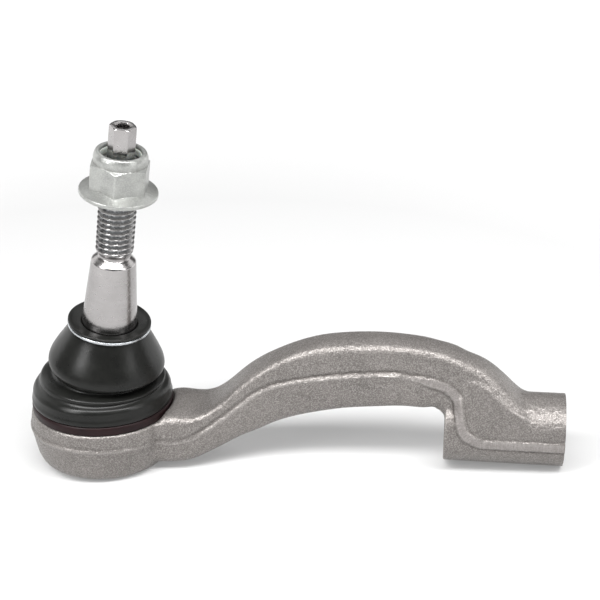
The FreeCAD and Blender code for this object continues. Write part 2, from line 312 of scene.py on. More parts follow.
class Bench:
    """Small helper that lays nodes into one tree."""

    def __init__(self, tree):
        self.tree = tree

    def add(self, kind, **settings):
        node = self.tree.nodes.new(kind)
        for key, value in settings.items():
            if key.startswith("_"):
                setattr(node, key[1:], value)
        return node

    def put(self, value, socket):
        if isinstance(value, bpy.types.NodeSocket):
            self.tree.links.new(value, socket)
        else:
            socket.default_value = value

    def math(self, operation, a, b=0.0, clamp=False):
        node = self.add("ShaderNodeMath", _operation=operation, _use_clamp=clamp)
        self.put(a, node.inputs[0])
        self.put(b, node.inputs[1])
        return node.outputs[0]

    def mix(self, share, a, b):
        node = self.add("ShaderNodeMix", _data_type="RGBA")
        self.put(share, node.inputs["Factor"])
        self.put(a, node.inputs[6])
        self.put(b, node.inputs[7])
        return node.outputs[2]

    def spread(self, value, low, high, out_low=0.0, out_high=1.0):
        node = self.add("ShaderNodeMapRange")
        for label, v in (("Value", value), ("From Min", low), ("From Max", high),
                         ("To Min", out_low), ("To Max", out_high)):
            self.put(v, node.inputs[label])
        return node.outputs["Result"]

    def noise(self, where, scale, detail=2.0, rough=0.5):
        node = self.add("ShaderNodeTexNoise")
        self.put(where, node.inputs["Vector"])
        self.put(scale, node.inputs["Scale"])
        node.inputs["Detail"].default_value = detail
        node.inputs["Roughness"].default_value = rough
        return node.outputs["Fac"]

    def cells(self, where, scale, feature="F1"):
        node = self.add("ShaderNodeTexVoronoi", _feature=feature)
        self.put(where, node.inputs["Vector"])
        self.put(scale, node.inputs["Scale"])
        return node.outputs["Distance"]

    def bump(self, height, strength, distance, normal=None):
        node = self.add("ShaderNodeBump")
        node.inputs["Strength"].default_value = strength
        node.inputs["Distance"].default_value = distance
        self.put(height, node.inputs["Height"])
        if normal is not None:
            self.put(normal, node.inputs["Normal"])
        return node.outputs[0]

    def where(self):
        return self.add("ShaderNodeTexCoord").outputs["Object"]

    def note(self, name, output="Vector"):
        node = self.add("ShaderNodeAttribute", _attribute_name=name)
        return node.outputs[output]


def shade_group(name, inputs, outputs):
    """An empty shader group with its sockets, and a bench to build it on."""
    group = bpy.data.node_groups.new(name, "ShaderNodeTree")
    for label, kind, value in inputs:
        socket = group.interface.new_socket(name=label, in_out="INPUT", socket_type=kind)
        if value is not None:
            socket.default_value = value
    for label, kind in outputs:
        group.interface.new_socket(name=label, in_out="OUTPUT", socket_type=kind)
    return group, Bench(group), group.nodes.new("NodeGroupInput"), group.nodes.new("NodeGroupOutput")


def grain_group():
    """Grain of a blasted, sintered or moulded skin: height and a speckle mask."""
    group, b, given, result = shade_group(
        "skin_grain",
        [("Where", "NodeSocketVector", None), ("Grain size", "NodeSocketFloat", 0.0004),
         ("Pit size", "NodeSocketFloat", 0.0009), ("Pits", "NodeSocketFloat", 0.5)],
        [("Height", "NodeSocketFloat"), ("Speckle", "NodeSocketFloat")])
    where = given.outputs["Where"]
    fine = b.noise(where, b.math("DIVIDE", 1.0, given.outputs["Grain size"]), 3.0, 0.62)
    pit = b.cells(where, b.math("DIVIDE", 1.0, given.outputs["Pit size"]), "SMOOTH_F1")
    pit = b.spread(pit, 0.1, 0.6)
    height = b.math("ADD", fine, b.math("MULTIPLY", pit, given.outputs["Pits"]))
    speck = b.noise(where, b.math("DIVIDE", 1.3, given.outputs["Grain size"]), 1.0, 0.5)
    b.put(height, result.inputs["Height"])
    b.put(b.spread(speck, 0.42, 0.66), result.inputs["Speckle"])
    return group


def stain_group():
    """Broad cloudy change of tone, from handling and storage."""
    group, b, given, result = shade_group(
        "handling_tone",
        [("Where", "NodeSocketVector", None), ("Patch size", "NodeSocketFloat", 0.012),
         ("Contrast", "NodeSocketFloat", 1.0)],
        [("Tone", "NodeSocketFloat"), ("Smudge", "NodeSocketFloat")])
    where = given.outputs["Where"]
    broad = b.noise(where, b.math("DIVIDE", 1.0, given.outputs["Patch size"]), 4.0, 0.55)
    small = b.noise(where, b.math("DIVIDE", 5.0, given.outputs["Patch size"]), 3.0, 0.6)
    tone = b.math("ADD", b.math("MULTIPLY", b.math("SUBTRACT", broad, 0.5), 1.4),
                  b.math("MULTIPLY", b.math("SUBTRACT", small, 0.5), 0.6))
    tone = b.math("ADD", b.math("MULTIPLY", tone, given.outputs["Contrast"]), 0.5, clamp=True)
    b.put(tone, result.inputs["Tone"])
    b.put(b.spread(small, 0.5, 0.75), result.inputs["Smudge"])
    return group


def wear_and_hollows_group():
    """Rubbed edges, and a mask that darkens hollow corners, from the curvature kept on the mesh."""
    group, b, given, result = shade_group(
        "edge_wear_and_hollows",
        [("Where", "NodeSocketVector", None), ("Curvature", "NodeSocketFloat", 0.0),
         ("Break up", "NodeSocketFloat", 0.5)],
        [("Rubbed", "NodeSocketFloat"), ("Packed", "NodeSocketFloat")])
    broken = b.noise(given.outputs["Where"], 900.0, 3.0, 0.7)
    lift = b.math("MULTIPLY", b.math("SUBTRACT", broken, 0.5), given.outputs["Break up"])
    rubbed = b.math("ADD", given.outputs["Curvature"], lift)
    b.put(b.spread(rubbed, 0.12, 0.9), result.inputs["Rubbed"])
    # darker in hollow corners: the more concave a point, the darker
    hollow_dark = b.math("SUBTRACT", lift, given.outputs["Curvature"])
    b.put(b.spread(hollow_dark, 0.15, 0.9), result.inputs["Packed"])
    return group


def turning_group():
    """Fine rings left by turning or grinding about the piece's own axis."""
    group, b, given, result = shade_group(
        "turning_marks",
        [("Blank", "NodeSocketVector", None), ("Spacing", "NodeSocketFloat", 0.00025)],
        [("Height", "NodeSocketFloat"), ("Streak", "NodeSocketFloat")])
    split = b.add("ShaderNodeSeparateXYZ")
    b.put(given.outputs["Blank"], split.inputs[0])
    flat = b.add("ShaderNodeCombineXYZ")
    b.put(b.math("MULTIPLY", split.outputs[0], 0.03), flat.inputs[0])
    b.put(b.math("MULTIPLY", split.outputs[1], 0.03), flat.inputs[1])
    b.put(split.outputs[2], flat.inputs[2])
    rings = b.noise(flat.outputs[0], b.math("DIVIDE", 1.0, given.outputs["Spacing"]), 3.0, 0.6)
    streak = b.noise(flat.outputs[0], b.math("DIVIDE", 0.25, given.outputs["Spacing"]), 2.0, 0.5)
    b.put(rings, result.inputs["Height"])
    b.put(b.spread(streak, 0.35, 0.7), result.inputs["Streak"])
    return group


GRAIN = grain_group()
STAIN = stain_group()
WEAR_AND_HOLLOWS = wear_and_hollows_group()
TURNING = turning_group()


def place_group(b, group, **given):
    """Puts a shader group into a material with its own values."""
    node = b.add("ShaderNodeGroup", _node_tree=group)
    for label, value in given.items():
        b.put(value, node.inputs[label.replace("_", " ")])
    return node


def new_finish(name, **fixed):
    """A material with its Principled shader; fixed values are set on the shader's own sockets."""
    material = bpy.data.materials.new(name)
    material.use_nodes = True
    tree = material.node_tree
    tree.nodes.clear()
    shader = tree.nodes.new("ShaderNodeBsdfPrincipled")
    out = tree.nodes.new("ShaderNodeOutputMaterial")
    tree.links.new(shader.outputs[0], out.inputs["Surface"])
    for label, value in fixed.items():
        shader.inputs[label.replace("_", " ")].default_value = value
    return material, Bench(tree), shader


def blasted_forging():
    """Grey blasted skin, bright rubbed edges, and the sheared face of the trimmed flash."""
    m, b, shader = new_finish("blasted_forging", Metallic=0.62, Specular_IOR_Level=0.5)
    where = b.where()
    grain = place_group(b, GRAIN, Where=where, Grain_size=0.00048, Pit_size=0.0012, Pits=0.6)
    tone = place_group(b, STAIN, Where=where, Patch_size=0.016, Contrast=1.0)
    wear_and_hollows = place_group(b, WEAR_AND_HOLLOWS, Where=where, Curvature=b.note("curvature", "Fac"), Break_up=0.5)
    base = b.mix(tone.outputs["Tone"], (0.13, 0.119, 0.112, 1), (0.208, 0.192, 0.181, 1))
    base = b.mix(b.math("MULTIPLY", grain.outputs["Speckle"], 0.5), base, (0.43, 0.408, 0.39, 1))
    pitted = b.spread(grain.outputs["Height"], 0.75, 0.45, 0.0, 0.55)
    base = b.mix(pitted, base, (0.11, 0.1, 0.094, 1))
    split = b.add("ShaderNodeSeparateXYZ")
    b.put(b.note("flash"), split.inputs[0])
    run = b.add("ShaderNodeCombineXYZ")
    b.put(b.math("MULTIPLY", split.outputs[0], 1.1), run.inputs[0])
    b.put(b.math("MULTIPLY", split.outputs[1], 0.12), run.inputs[1])
    crack = b.noise(run.outputs[0], 1.0, 3.0, 0.7)
    crack = b.spread(b.math("ABSOLUTE", b.math("SUBTRACT", crack, 0.5)), 0.0, 0.05, 0.55, 0.0)
    sheared = b.mix(crack, (0.36, 0.335, 0.325, 1), (0.16, 0.145, 0.138, 1))
    base = b.mix(b.math("MULTIPLY", split.outputs[2], 0.6), base, sheared)
    base = b.mix(b.math("MULTIPLY", wear_and_hollows.outputs["Rubbed"], 0.35), base, (0.56, 0.54, 0.51, 1))
    # darker in hollow corners, by the curvature mask
    base = b.mix(b.math("MULTIPLY", wear_and_hollows.outputs["Packed"], 0.8), base, (0.085, 0.075, 0.067, 1))
    b.put(base, shader.inputs["Base Color"])
    rough = b.spread(grain.outputs["Speckle"], 0.0, 1.0, 0.44, 0.34)
    b.put(rough, shader.inputs["Roughness"])
    height = b.bump(grain.outputs["Height"], 0.55, 0.00026)
    broad = b.noise(where, 300.0, 3.0, 0.6)
    b.put(b.bump(broad, 0.2, 0.0005, height), shader.inputs["Normal"])
    return m


def cut_metal():
    """Bright machined metal of the bores and the boss's end."""
    m, b, shader = new_finish("machined_bore", Metallic=1.0)
    where = b.where()
    tone = place_group(b, STAIN, Where=where, Patch_size=0.006, Contrast=0.8)
    base = b.mix(tone.outputs["Tone"], (0.36, 0.352, 0.344, 1), (0.54, 0.53, 0.52, 1))
    b.put(base, shader.inputs["Base Color"])
    b.put(b.spread(tone.outputs["Smudge"], 0.0, 1.0, 0.24, 0.4), shader.inputs["Roughness"])
    ring = b.noise(where, 2600.0, 2.0, 0.5)
    b.put(b.bump(ring, 0.06, 0.00004), shader.inputs["Normal"])
    return m


def ground_steel():
    """Ground and rolled steel of the stud, with painted shade that darkens the thread, most in its roots.
    """
    m, b, shader = new_finish("ground_stud_steel", Metallic=1.0, Anisotropic=0.3)
    where = b.note("blank")
    marks = place_group(b, TURNING, Blank=where, Spacing=0.00022)
    tone = place_group(b, STAIN, Where=where, Patch_size=0.008, Contrast=0.7)
    # mask of the painted shade: how deep in the thread each point lies
    groove = b.note("groove", "Fac")
    base = b.mix(tone.outputs["Tone"], (0.34, 0.328, 0.325, 1), (0.46, 0.446, 0.442, 1))
    base = b.mix(b.math("MULTIPLY", marks.outputs["Streak"], 0.07), base, (0.26, 0.25, 0.25, 1))
    smudge = b.spread(tone.outputs["Smudge"], 0.0, 1.0)
    # painted shade: a dark bluish tone laid over the thread, strongest in its roots
    root_shade = b.mix(smudge, (0.2, 0.215, 0.225, 1), (0.36, 0.375, 0.385, 1))
    base = b.mix(groove, base, root_shade)
    b.put(base, shader.inputs["Base Color"])
    rough = b.math("ADD", b.spread(marks.outputs["Streak"], 0.0, 1.0, 0.19, 0.25),
                   b.math("MULTIPLY", tone.outputs["Smudge"], 0.1))
    b.put(rough, shader.inputs["Roughness"])
    b.put(b.bump(marks.outputs["Height"], 0.04, 0.00002), shader.inputs["Normal"])
    return m


def zinc_nut():
    """Dull zinc plating."""
    m, b, shader = new_finish("zinc_plated_nut", Metallic=0.7)
    where = b.note("blank")
    grain = place_group(b, GRAIN, Where=where, Grain_size=0.0005, Pit_size=0.0013, Pits=0.6)
    tone = place_group(b, STAIN, Where=where, Patch_size=0.004, Contrast=1.2)
    wear_and_hollows = place_group(b, WEAR_AND_HOLLOWS, Where=where, Curvature=b.note("curvature", "Fac"), Break_up=0.8)
    base = b.mix(tone.outputs["Tone"], (0.26, 0.265, 0.256, 1), (0.4, 0.405, 0.39, 1))
    base = b.mix(b.math("MULTIPLY", grain.outputs["Speckle"], 0.25), base, (0.58, 0.588, 0.56, 1))
    base = b.mix(b.math("MULTIPLY", wear_and_hollows.outputs["Rubbed"], 0.5), base, (0.72, 0.73, 0.69, 1))
    # darker in hollow corners, by the curvature mask
    base = b.mix(b.math("MULTIPLY", wear_and_hollows.outputs["Packed"], 0.5), base, (0.17, 0.17, 0.155, 1))
    b.put(base, shader.inputs["Base Color"])
    b.put(b.spread(tone.outputs["Smudge"], 0.0, 1.0, 0.3, 0.46), shader.inputs["Roughness"])
    b.put(b.bump(grain.outputs["Height"], 0.45, 0.00018), shader.inputs["Normal"])
    return m


def moulded_rubber(name, dark, light, rough_low, rough_high):
    """Black rubber with a satin skin and cloudy handling marks."""
    m, b, shader = new_finish(name, Metallic=0.0, Specular_IOR_Level=0.27)
    where = b.note("blank")
    grain = place_group(b, GRAIN, Where=where, Grain_size=0.0003, Pit_size=0.0011, Pits=0.3)
    tone = place_group(b, STAIN, Where=where, Patch_size=0.011, Contrast=1.0)
    base = b.mix(tone.outputs["Tone"], dark, light)
    b.put(base, shader.inputs["Base Color"])
    b.put(b.spread(tone.outputs["Tone"], 0.2, 0.8, rough_low, rough_high), shader.inputs["Roughness"])
    fine = b.bump(grain.outputs["Height"], 0.12, 0.00008)
    b.put(b.bump(b.noise(where, 420.0, 2.0, 0.5), 0.12, 0.0003, fine), shader.inputs["Normal"])
    return m


def steel_band(name, low, high, rough_low, rough_high, metallic=1.0, gloss=0.5):
    """Sheet or wire metal, bare or coated."""
    m, b, shader = new_finish(name, Metallic=metallic, Specular_IOR_Level=gloss)
    where = b.where()
    tone = place_group(b, STAIN, Where=where, Patch_size=0.004, Contrast=1.0)
    grain = place_group(b, GRAIN, Where=where, Grain_size=0.0004, Pit_size=0.002, Pits=0.2)
    b.put(b.mix(tone.outputs["Tone"], low, high), shader.inputs["Base Color"])
    b.put(b.spread(tone.outputs["Smudge"], 0.0, 1.0, rough_low, rough_high), shader.inputs["Roughness"])
    b.put(b.bump(grain.outputs["Height"], 0.12, 0.00006), shader.inputs["Normal"])
    return m


def moulded_polymer(name, low, high):
    """Pale moulded plastic."""
    m, b, shader = new_finish(name, Metallic=0.0, Subsurface_Weight=0.1)
    where = b.where()
    tone = place_group(b, STAIN, Where=where, Patch_size=0.005, Contrast=0.7)
    grain = place_group(b, GRAIN, Where=where, Grain_size=0.0002, Pit_size=0.001, Pits=0.2)
    b.put(b.mix(tone.outputs["Tone"], low, high), shader.inputs["Base Color"])
    b.put(b.spread(tone.outputs["Smudge"], 0.0, 1.0, 0.38, 0.52), shader.inputs["Roughness"])
    b.put(b.bump(grain.outputs["Height"], 0.1, 0.00005), shader.inputs["Normal"])
    return m


FORGING = blasted_forging()
CUT = cut_metal()
STUD_STEEL = ground_steel()
ZINC = zinc_nut()
RUBBER = moulded_rubber("boot_rubber", (0.0045, 0.0047, 0.0045, 1), (0.0105, 0.0108, 0.0095, 1),
                        0.25, 0.36)
SEAL_RUBBER = moulded_rubber("seal_rubber", (0.02, 0.02, 0.02, 1), (0.04, 0.04, 0.04, 1), 0.5, 0.65)
BAND = steel_band("dark_clamp_band", (0.008, 0.0045, 0.005, 1), (0.02, 0.0085, 0.009, 1),
                  0.4, 0.55, metallic=0.0, gloss=0.16)
BRIGHT = steel_band("bright_ring_steel", (0.42, 0.44, 0.46, 1), (0.62, 0.64, 0.66, 1), 0.22, 0.36)
CAP_STEEL = steel_band("pressed_cap_steel", (0.42, 0.42, 0.42, 1), (0.6, 0.6, 0.58, 1), 0.3, 0.46)
SPRING = steel_band("spring_steel", (0.2, 0.2, 0.22, 1), (0.34, 0.34, 0.36, 1), 0.3, 0.4)
RACE = moulded_polymer("race_acetal", (0.72, 0.7, 0.64, 1), (0.82, 0.8, 0.75, 1))
INSERT = moulded_polymer("insert_nylon", (0.6, 0.62, 0.56, 1), (0.75, 0.76, 0.7, 1))


def paint(piece, *materials):
    """Gives a piece its materials and no others."""
    piece.data.materials.clear()
    for material in materials:
        piece.data.materials.append(material)


# ======================================================================================
# forged housing
# ======================================================================================

# run of the die parting line along the near and far sides, (x, z)
PARTING = [(-26, -4.0), (8, -4.1), (15, -4.6), (21.3, -5.4), (26.9, -5.3), (32.3, -3.5), (37.7, -0.1),
           (43.1, 4.0), (48.0, 8.2), (53.4, 12.3), (58.8, 14.6), (64.2, 16.1), (72.1, 17.8), (82, 19.5),
           (92.8, 20.7), (98.6, 20.6), (103.5, 19.7), (108.3, 18.6), (112.2, 17.5), (115.2, 15.6),
           (117.2, 12.7), (117.8, 8.9), (118.6, 5.2), (120.4, 2.3), (123.7, 0.5), (128.1, 0.0), (154, 0.0)]


def mesh_arrays(mesh):
    """Points, normals and edges of a mesh."""
    co = np.zeros(len(mesh.vertices) * 3)
    mesh.vertices.foreach_get("co", co)
    no = np.zeros(len(mesh.vertices) * 3)
    mesh.vertices.foreach_get("normal", no)
    ed = np.zeros(len(mesh.edges) * 2, np.int64)
    mesh.edges.foreach_get("vertices", ed)
    return co.reshape(-1, 3), no.reshape(-1, 3), ed.reshape(-1, 2)


def neighbour_mean(values, edges, count):
    """Mean of each point's neighbours."""
    total = np.zeros_like(values)
    number = np.bincount(edges.ravel(), minlength=count).astype(float)
    for a, b in ((0, 1), (1, 0)):
        np.add.at(total, edges[:, a], values[edges[:, b]])
    number[number == 0] = 1
    return total / (number[:, None] if values.ndim == 2 else number)


def smooth_step(x, low, high):
    """0 below low, 1 above high, smooth between."""
    t = np.clip((x - low) / (high - low), 0, 1)
    return t * t * (3 - 2 * t)


def to_parting(co):
    """Distance along and across the parting line, in millimetres; across is positive above it."""
    pts = np.array(soften(PARTING, 4), float)
    xz = co[:, [0, 2]] / MM
    best = np.full(len(xz), 1e9)
    across = np.zeros(len(xz))
    along = np.zeros(len(xz))
    run = 0.0
    for p, q in zip(pts, pts[1:]):
        d = q - p
        length = np.hypot(*d)
        d = d / length
        rel = xz - p
        t = np.clip(rel @ d, 0, length)
        off = rel - t[:, None] * d
        dist = np.hypot(off[:, 0], off[:, 1])
        side = d[0] * rel[:, 1] - d[1] * rel[:, 0]
        near = dist < best
        best[near] = dist[near]
        across[near] = np.where(side[near] >= 0, dist[near], -dist[near])
        along[near] = run + t[near]
        run += length
    return along, across


def forged_blank():
    """The forging before machining: the CAD solid with its bores plugged, remeshed evenly."""
    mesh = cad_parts["forged_housing"].data.copy()
    bm = bmesh.new()
    bm.from_mesh(mesh)
    bmesh.ops.remove_doubles(bm, verts=bm.verts, dist=2e-6)
    bm.to_mesh(mesh)
    bm.free()
    piece = bpy.data.objects.new("gooseneck_forging", mesh)
    bpy.context.collection.objects.link(piece)
    spare = BOSS_RIGHT + 2.5        # stock left on the boss's end, faced off later
    rod_plug = turned("rod_plug", [(0, BOSS_LEFT), (7.6, BOSS_LEFT), (7.6, BOSS_RIGHT - 4),
                                   (BOSS_R, BOSS_RIGHT - 4), (BOSS_R, spare), (0, spare)], 96)
    rod_plug.data.transform(along_rod)
    head_plug = turned("head_plug", [(0, HEAD_BOTTOM), (16.0, HEAD_BOTTOM), (16.0, -13.0), (14.5, 3.0),
                                     (13.5, 9.0), (0, 9.0)], 64)
    join(piece, rod_plug, head_plug, web_cheeks())
    even = piece.modifiers.new("even", "REMESH")
    even.mode = "VOXEL"
    even.voxel_size = VOXEL * MM
    plain(piece)
    return piece


# cheeks of the web over the boss: x, half width at the parting line, then half width
# and height where they run out into the arm
CHEEKS = [(115.4, 5.5, 5.5, 14.0), (117.0, 10.6, 7.2, 16.0), (119.0, 11.66, 7.5, 20.0),
          (123.0, 11.7, 7.8, 19.6), (127.0, 11.7, 8.3, 17.6), (131.0, 11.7, 8.7, 14.2),
          (135.0, 11.7, 9.2, 10.9), (138.4, 11.7, 9.5, 9.6), (139.7, 11.2, 9.2, 8.7),
          (140.6, 6.0, 6.0, 7.0)]
CHEEK_STEPS = 8


def web_cheeks():
    """Solid that carries the web's flat faces down over the boss to the parting line."""
    bm = bmesh.new()
    rows = []
    for x, half, end_half, top in CHEEKS:
        side = []
        foot = BOSS_Z - 1.0
        for k in range(CHEEK_STEPS + 1):
            t = k / CHEEK_STEPS
            side.append((half + (end_half - half) * t ** 1.5, foot + (top - foot) * t))
        loop = [(-y, z) for y, z in side] + [(y, z) for y, z in reversed(side)]
        rows.append([bm.verts.new((x * MM, y * MM, z * MM)) for y, z in loop])
    for low, high in zip(rows, rows[1:]):
        for k in range(len(low)):
            m = (k + 1) % len(low)
            bm.faces.new((low[k], low[m], high[m], high[k]))
    bm.faces.new(rows[0])
    bm.faces.new(rows[-1])
    bmesh.ops.recalc_face_normals(bm, faces=bm.faces)
    mesh = bpy.data.meshes.new("web_cheeks")
    bm.to_mesh(mesh)
    bm.free()
    solid = bpy.data.objects.new("web_cheeks", mesh)
    bpy.context.collection.objects.link(solid)
    return solid


def join(piece, *others):
    """Adds other meshes to a piece's mesh."""
    bm = bmesh.new()
    bm.from_mesh(piece.data)
    for other in others:
        bm.from_mesh(other.data)
        mesh = other.data
        bpy.data.objects.remove(other)
        bpy.data.meshes.remove(mesh)
    bm.to_mesh(piece.data)
    bm.free()


def round_shoulders(co):
    """Draws the arm's upper corners in, the way a worn upper die leaves them."""
    start, slices = 20, 132          # one slice a millimetre, from the head to the boss's end
    deep, wide = 9.5, 9.0            # reach of the rounding down from the crown, and sideways
    x, y, z = (co / MM).T
    top = np.full(slices, -1e9)
    np.maximum.at(top, np.clip(x - start, 0, slices - 1).astype(int), z)
    top = np.convolve(np.pad(top, 2, "edge"), np.ones(5) / 5, "valid")
    crown = np.interp(x, np.arange(slices) + start + 0.5, top)
    v = np.clip((z - crown + deep) / deep, 0, 1)
    u = np.clip(np.abs(y) / wide, 0, 1)
    share = smooth_step(x, 52.0, 92.0) * (1 - smooth_step(x, 128.0, 139.0))
    pull = 0.15 * share * np.where(y < 0, 1.0, 0.35) * (u * v) ** 2
    out = co.copy()
    out[:, 1] -= co[:, 1] * pull
    out[:, 2] -= (co[:, 2] - (crown - deep) * MM) * pull
    return out


def set_points(mesh, co):
    """Moves a mesh's points and gives back its new normals."""
    mesh.vertices.foreach_set("co", co.ravel())
    mesh.update()
    return mesh_arrays(mesh)[1]


def round_forging(mesh):
    """Rounds the forged corners; the hollow ones are the roundest, so they are smoothed for longer."""
    co, _, ed = mesh_arrays(mesh)
    count = len(co)
    for _ in range(5):
        co = co + 0.5 * (neighbour_mean(co, ed, count) - co)
    co = round_shoulders(co)
    no = set_points(mesh, co)
    hollow = np.einsum("ij,ij->i", neighbour_mean(co, ed, count) - co, no) / MM
    mask = np.clip(hollow * 30, 0, 1)
    for _ in range(12):
        mask = np.maximum(mask, 0.92 * neighbour_mean(mask, ed, count))
    for _ in range(24):
        co = co + (0.5 * mask)[:, None] * (neighbour_mean(co, ed, count) - co)
    set_points(mesh, co)


def raise_flash(mesh):
    """Raises the trimmed flash along the parting line and keeps where it runs."""
    co, no, ed = mesh_arrays(mesh)
    along, across = to_parting(co)
    x = co[:, 0] / MM
    wide = smooth_step(x, 101.0, 110.0)      # the flash is wide from the bend on
    half = 0.3 + 1.05 * wide
    arm = smooth_step(x, 26.0, 38.0) * (1 - smooth_step(x, 104.0, 114.0))
    side = np.where(x < 12, np.hypot(no[:, 0], no[:, 1]), np.abs(no[:, 1]))
    on_side = smooth_step(side, 0.45, 0.8)
    s = across + 0.05 * np.sin(along * 0.9) + 0.04 * np.sin(along * 2.3 + 1.0)
    lip = smooth_step(-np.abs(s), -(half + 0.45), -(half - 0.15))
    lip_height = 0.22 + 0.14 * wide + 0.02 * np.sin(along * 0.7)
    ledge = 0.42 * arm * smooth_step(-s, -0.1, 0.35) * np.exp(-np.maximum(-s, 0) / 9.0)
    groove = -(0.36 + 0.18 * arm) * np.exp(-((s - half - 0.8) / 0.6) ** 2)
    lower_groove = -0.3 * (0.3 + wide) * np.exp(-((s + half + 0.65) / 0.42) ** 2)
    rise = lip * lip_height + ledge + groove + lower_groove
    rise = 0.5 * rise + 0.5 * neighbour_mean(rise, ed, len(co))
    strip = smooth_step(-np.abs(s), -(half + 0.12), -(half - 0.12)) * on_side * (0.35 + 0.65 * wide)
    flash = np.stack([along, across, strip], -1).astype(np.float32)
    mesh.attributes.new("flash", "FLOAT_VECTOR", "POINT").data.foreach_set("vector", flash.ravel())
    outward = no * (1, 1, 0.3)
    outward /= np.maximum(np.linalg.norm(outward, axis=1, keepdims=True), 1e-9)
    set_points(mesh, co + outward * (rise * on_side * MM)[:, None])


def keep_curvature(mesh, gain, passes=2):
    """Keeps how convex each point is, for rubbed edges and for darkening hollow corners."""
    co, no, ed = mesh_arrays(mesh)
    curve = -np.einsum("ij,ij->i", neighbour_mean(co, ed, len(co)) - co, no) / MM * gain
    for _ in range(passes):
        curve = 0.5 * curve + 0.5 * neighbour_mean(curve, ed, len(co))
    note = mesh.attributes.get("curvature") or mesh.attributes.new("curvature", "FLOAT", "POINT")
    note.data.foreach_set("value", np.clip(curve, -1, 1).astype(np.float32))


def machine_forging(piece):
    """Drills the rod bore, bores the head from below and faces the boss."""
    clear = BOSS_RIGHT + 20
    bore = turned("bore_cutter", [(0, BOSS_LEFT - 0.7), (7.6, BOSS_LEFT - 0.7), (7.6, BOSS_LEFT),
                                  (ROD_ROOT_R, BOSS_LEFT + 0.7), (ROD_ROOT_R, BOSS_RIGHT - 1.2),
                                  (8.0, BOSS_RIGHT - 0.1), (8.0, clear), (0, clear)], 96)
    bore.data.transform(along_rod)
    head = turned("head_cutter", [(0, -22), (14.15, -22), (14.15, HEAD_BOTTOM), (14.1, -15.86),
                                  (15.05, -15.85), (15.05, -14.05), (13.55, -14.05), (13.55, 3.0),
                                  (11.0, 6.5), (12.6, 10.0), (12.6, 20), (0, 20)], 128)
    face = turned("face_cutter", [(0, BOSS_RIGHT), (30, BOSS_RIGHT), (30, clear), (0, clear)], 12)
    face.data.transform(along_rod)
    for cutter in (bore, head, face):
        paint(cutter, CUT)
        cut = piece.modifiers.new("cut", "BOOLEAN")
        cut.operation = "DIFFERENCE"
        cut.solver = "EXACT"
        cut.object = cutter
        cut.material_mode = "TRANSFER"
        plain(piece)
        mesh = cutter.data
        bpy.data.objects.remove(cutter)
        bpy.data.meshes.remove(mesh)


def make_forging():
    """Housing forging: blank, rounding, flash, then the machining."""
    piece = forged_blank()
    round_forging(piece.data)
    raise_flash(piece.data)
    keep_curvature(piece.data, 9.0)
    paint(piece, FORGING)
    machine_forging(piece)
    finish_shape(piece, 40.0)
    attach(piece, "housing")
    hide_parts("forged_housing")
    return piece


def make_rod_thread(tree):
    """Internal thread of the boss, a sleeve whose wall is the bore's cut metal."""
    low, high = BOSS_LEFT + 0.9, BOSS_RIGHT - 0.9
    inner = rows_between(low, high, ROD_CREST_R, ROD_PITCH / 10)
    outline = [(7.0, low)] + inner + [(7.0, high)]
    piece = turned("rod_thread", outline, 72, ring=True)
    cut_thread(piece, tree, CUT, Root_radius=ROD_ROOT_R, Crest_radius=ROD_CREST_R, Pitch=ROD_PITCH,
               Start=low - 0.1, End=high + 0.1, Run_out=0.5, Reach_low=5.5, Reach_high=6.6,
               Crest_flat=0.16)
    settle(piece.data, along_rod)
    finish_shape(piece, 30.0)
    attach(piece, "housing")
    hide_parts("forged_housing")
    return piece


# ======================================================================================
# stud and nut
# ======================================================================================

def keep_thread_shade_mask(mesh, z_low, z_high, root, crest):
    """Keeps how deep in the thread each point lies, 1 at the root, as the mask of the painted shade in the
    thread.
    """
    co, _, _ = mesh_arrays(mesh)
    radius = np.hypot(co[:, 0], co[:, 1]) / MM
    z = co[:, 2] / MM
    deep = np.clip((crest - radius) / (crest - root), 0, 1) * (z > z_low) * (z < z_high)
    deep = 0.05 * (z > z_low) * (z < z_high) + 0.7 * deep
    mesh.attributes.new("groove", "FLOAT", "POINT").data.foreach_set("value", deep.astype(np.float32))


